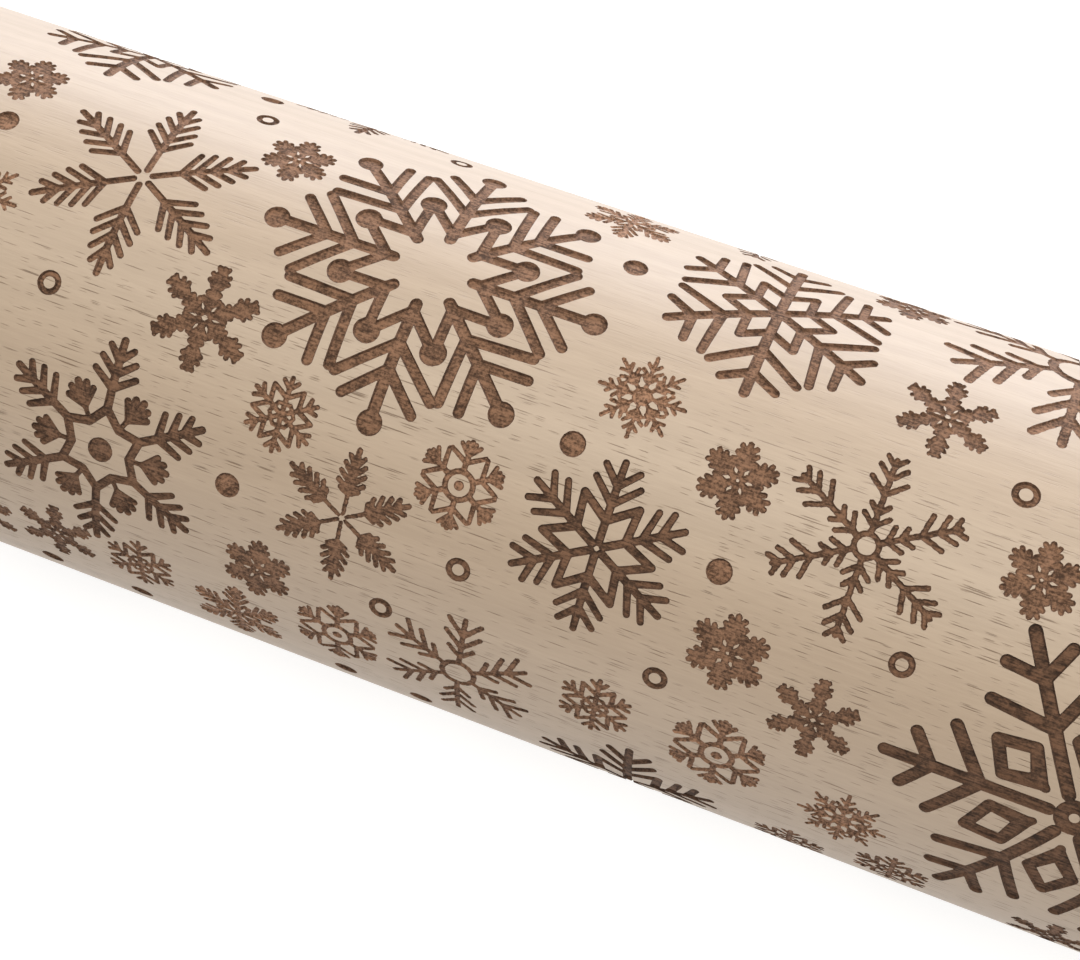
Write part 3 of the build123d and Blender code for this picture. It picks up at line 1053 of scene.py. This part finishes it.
def moulded_nylon(name, shade):
    """Moulded nylon with a fine spark-eroded grain and a slight clouding."""
    finish = Finish(name)
    grain = finish.place.noise(0.18, 2.0, 0.6)
    cloud = finish.place.noise(5.0, 2.0).ramp(0.3, 0.7)
    finish.set(
        Base_Color=cloud.mix(tinted(shade, 0.94), tinted(shade, 1.0)),
        Roughness=0.42 + grain * 0.12,
        Subsurface_Weight=0.05,
        Subsurface_Radius=(0.002, 0.0016, 0.0012),
    )
    finish.bump(grain, 0.015)
    return finish.material


def dress(names, material):
    """Gives construction pieces their finish."""
    for name in names:
        for side in ("", "_left", "_right"):
            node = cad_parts.get(name + side)
            if node is not None:
                node.data.materials.clear()
                node.data.materials.append(material)


# The stage


SENSOR_WIDTH = 36.0
PICTURE_WIDTH, PICTURE_HEIGHT = 1080, 960
FLOOR_RINGS = (0.4, 0.8, 1.6, 3.2)
FLOOR_SIDES = 64


def camera_pose(shot):
    """The camera's place in metres and its turn: it stands straight out from the wall's facing line, and
    looks down and to the left with no roll."""
    place = Vector((
        shot.along,
        -shot.distance * math.sin(shot.lift),
        AXIS_HEIGHT * MM + shot.distance * math.cos(shot.lift),
    ))
    turn = Matrix.Rotation(shot.heading, 3, "Z") @ Matrix.Rotation(math.pi / 2 - shot.pitch, 3, "X")
    return place, turn


def add_light(name, size, power, shade, place, target):
    """A soft rectangular light that faces a target."""
    light = bpy.data.lights.new(name, "AREA")
    light.shape = "RECTANGLE"
    light.size, light.size_y = size
    light.energy = power
    light.color = shade
    lamp = bpy.data.objects.new(name, light)
    lamp.location = place
    lamp.rotation_euler = (Vector(target) - Vector(place)).to_track_quat("-Z", "Y").to_euler()
    bpy.context.scene.collection.objects.link(lamp)


class ROLLINGPIN_OT_stage(bpy.types.Operator):
    """Adds the pale floor, the soft lights and the photograph's camera"""

    bl_idname = "rollingpin.stage"
    bl_label = "Stage"

    def execute(self, context):
        scene = context.scene
        place, turn = camera_pose(scene.pin_camera)
        camera = bpy.data.cameras.new("camera")
        camera.sensor_width = SENSOR_WIDTH
        camera.lens = scene.pin_camera.lens
        camera.shift_x = scene.pin_camera.shift
        camera.clip_start = 0.01
        shot = bpy.data.objects.new("camera", camera)
        shot.matrix_world = Matrix.Translation(place) @ turn.to_4x4()
        scene.collection.objects.link(shot)
        scene.camera = shot

        finish = Finish("pale_floor")
        cloud = finish.place.noise(400.0, 2.0)
        shade = tuple(scene.pin_colours.floor)
        finish.set(
            Base_Color=cloud.mix(tinted(shade, 0.985), shade), Roughness=0.8, Specular_IOR_Level=0.2,
            Emission_Color=(1.0, 1.0, 1.0, 1.0), Emission_Strength=scene.pin_light.glow,
        )
        turns = np.linspace(0, FULL_TURN, FLOOR_SIDES, endpoint=False)
        x, y = np.outer(FLOOR_RINGS, np.cos(turns)).ravel(), np.outer(FLOOR_RINGS, np.sin(turns)).ravel()
        here = np.arange(FLOOR_SIDES)
        after = (here + 1) % FLOOR_SIDES
        ring = np.stack([here, here + FLOOR_SIDES, after + FLOOR_SIDES, after], 1)
        rings = [ring + k * FLOOR_SIDES for k in range(len(FLOOR_RINGS) - 1)]
        faces = [here.tolist()] + np.concatenate(rings).tolist()
        floor = mesh_object("floor", np.stack([x, y, 0 * x], 1), faces, finish.material, smooth=False)

        light = scene.pin_light
        add_light("overhead", (1.2, 0.8), light.overhead, (1.0, 0.967, 0.874), (0.05, -0.2, 1.0), (0, 0, 0.03))
        add_light("behind", (2.0, 0.7), light.behind, (0.843, 0.9, 1.0), (0.05, 1.0, 0.38), (0, 0, 0.03))
        world = bpy.data.worlds.new("studio")
        world.use_nodes = True
        sky = world.node_tree.nodes["Background"]
        sky.inputs["Color"].default_value = (1.0, 0.99, 0.98, 1)
        # The room is as pale as the floor to look at, but lights the pin only a little
        seen = add_node(world.node_tree, "ShaderNodeLightPath", output="Is Camera Ray")
        fill(sky.inputs["Strength"], seen * (1.0 - light.room) + light.room)
        scene.world = world
        scene.view_settings.view_transform = "Standard"
        return {"FINISHED"}


class ROLLINGPIN_OT_barrel(bpy.types.Operator):
    """Cuts and scorches the figures in the barrel's wall"""

    bl_idname = "rollingpin.barrel"
    bl_label = "Engraved barrel"

    def execute(self, context):
        made = barrel_mesh(engraved_beech())
        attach(made, "barrel")
        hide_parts("barrel")
        return {"FINISHED"}


class ROLLINGPIN_OT_handles(bpy.types.Operator):
    """Gives the turned handles and their end buttons their wood"""

    bl_idname = "rollingpin.handles"
    bl_label = "Handles"

    def execute(self, context):
        dress(["handle", "handle_plug"], handle_beech())
        return {"FINISHED"}


class ROLLINGPIN_OT_caps(bpy.types.Operator):
    """Gives the barrel's end caps their moulded nylon"""

    bl_idname = "rollingpin.caps"
    bl_label = "End caps"

    def execute(self, context):
        dress(["barrel_cap"], moulded_nylon("cap_nylon", context.scene.pin_colours.cap_nylon))
        return {"FINISHED"}


class ROLLINGPIN_OT_bearings(bpy.types.Operator):
    """Gives the two ball bearings their ground steel, plated shields and nylon cages"""

    bl_idname = "rollingpin.bearings"
    bl_label = "Bearings"

    def execute(self, context):
        colours = context.scene.pin_colours
        ground = turned_steel("bearing_steel", colours.ground_steel, 0.16, 0.12)
        dress(["bearing_outer_ring", "bearing_inner_ring", "bearing_balls"], ground)
        plated = turned_steel("shield_steel", colours.zinc, 0.26, 0.2)
        dress(["bearing_shield_inner", "bearing_shield_outer"], plated)
        dress(["bearing_cage"], moulded_nylon("cage_nylon", colours.cage_nylon))
        return {"FINISHED"}


class ROLLINGPIN_OT_axle(bpy.types.Operator):
    """Gives the rod, its tube, collars, washers and nuts their steel and zinc"""

    bl_idname = "rollingpin.axle"
    bl_label = "Axle"

    def execute(self, context):
        colours = context.scene.pin_colours
        dress(["axle_rod", "thrust_collar"], turned_steel("rod_steel", colours.rod_steel, 0.2, 0.15))
        dress(["spacer_tube", "washer", "handle_nut"], turned_steel("zinc_plate", colours.zinc, 0.3, 0.25))
        return {"FINISHED"}


STEPS = (
    ROLLINGPIN_OT_stage,
    ROLLINGPIN_OT_barrel,
    ROLLINGPIN_OT_handles,
    ROLLINGPIN_OT_caps,
    ROLLINGPIN_OT_bearings,
    ROLLINGPIN_OT_axle,
)
GROUPS = {
    "pin_engraving": PinEngraving, "pin_colours": PinColours, "pin_light": PinLight, "pin_camera": PinCamera,
}


class ROLLINGPIN_PT_panel(bpy.types.Panel):
    """The rolling pin's settings and steps"""

    bl_idname = "ROLLINGPIN_PT_panel"
    bl_label = "Rolling pin"
    bl_space_type = "VIEW_3D"
    bl_region_type = "UI"
    bl_category = "Rolling pin"

    def draw(self, context):
        for name, group in GROUPS.items():
            box = self.layout.box()
            for setting in group.__annotations__:
                box.prop(getattr(context.scene, name), setting)
        for step in STEPS:
            self.layout.operator(step.bl_idname)


def register():
    for cls in (*GROUPS.values(), *STEPS, ROLLINGPIN_PT_panel):
        bpy.utils.register_class(cls)
    for name, group in GROUPS.items():
        setattr(bpy.types.Scene, name, bpy.props.PointerProperty(type=group))


def unregister():
    for name in GROUPS:
        delattr(bpy.types.Scene, name)
    for cls in (ROLLINGPIN_PT_panel, *reversed(STEPS), *reversed(GROUPS.values())):
        bpy.utils.unregister_class(cls)


def main():
    """Registers the settings, steps and panel, then makes everything in order."""
    register()
    for step in STEPS:
        family, name = step.bl_idname.split(".")
        getattr(getattr(bpy.ops, family), name)()


if __name__ == "__main__":
    main()
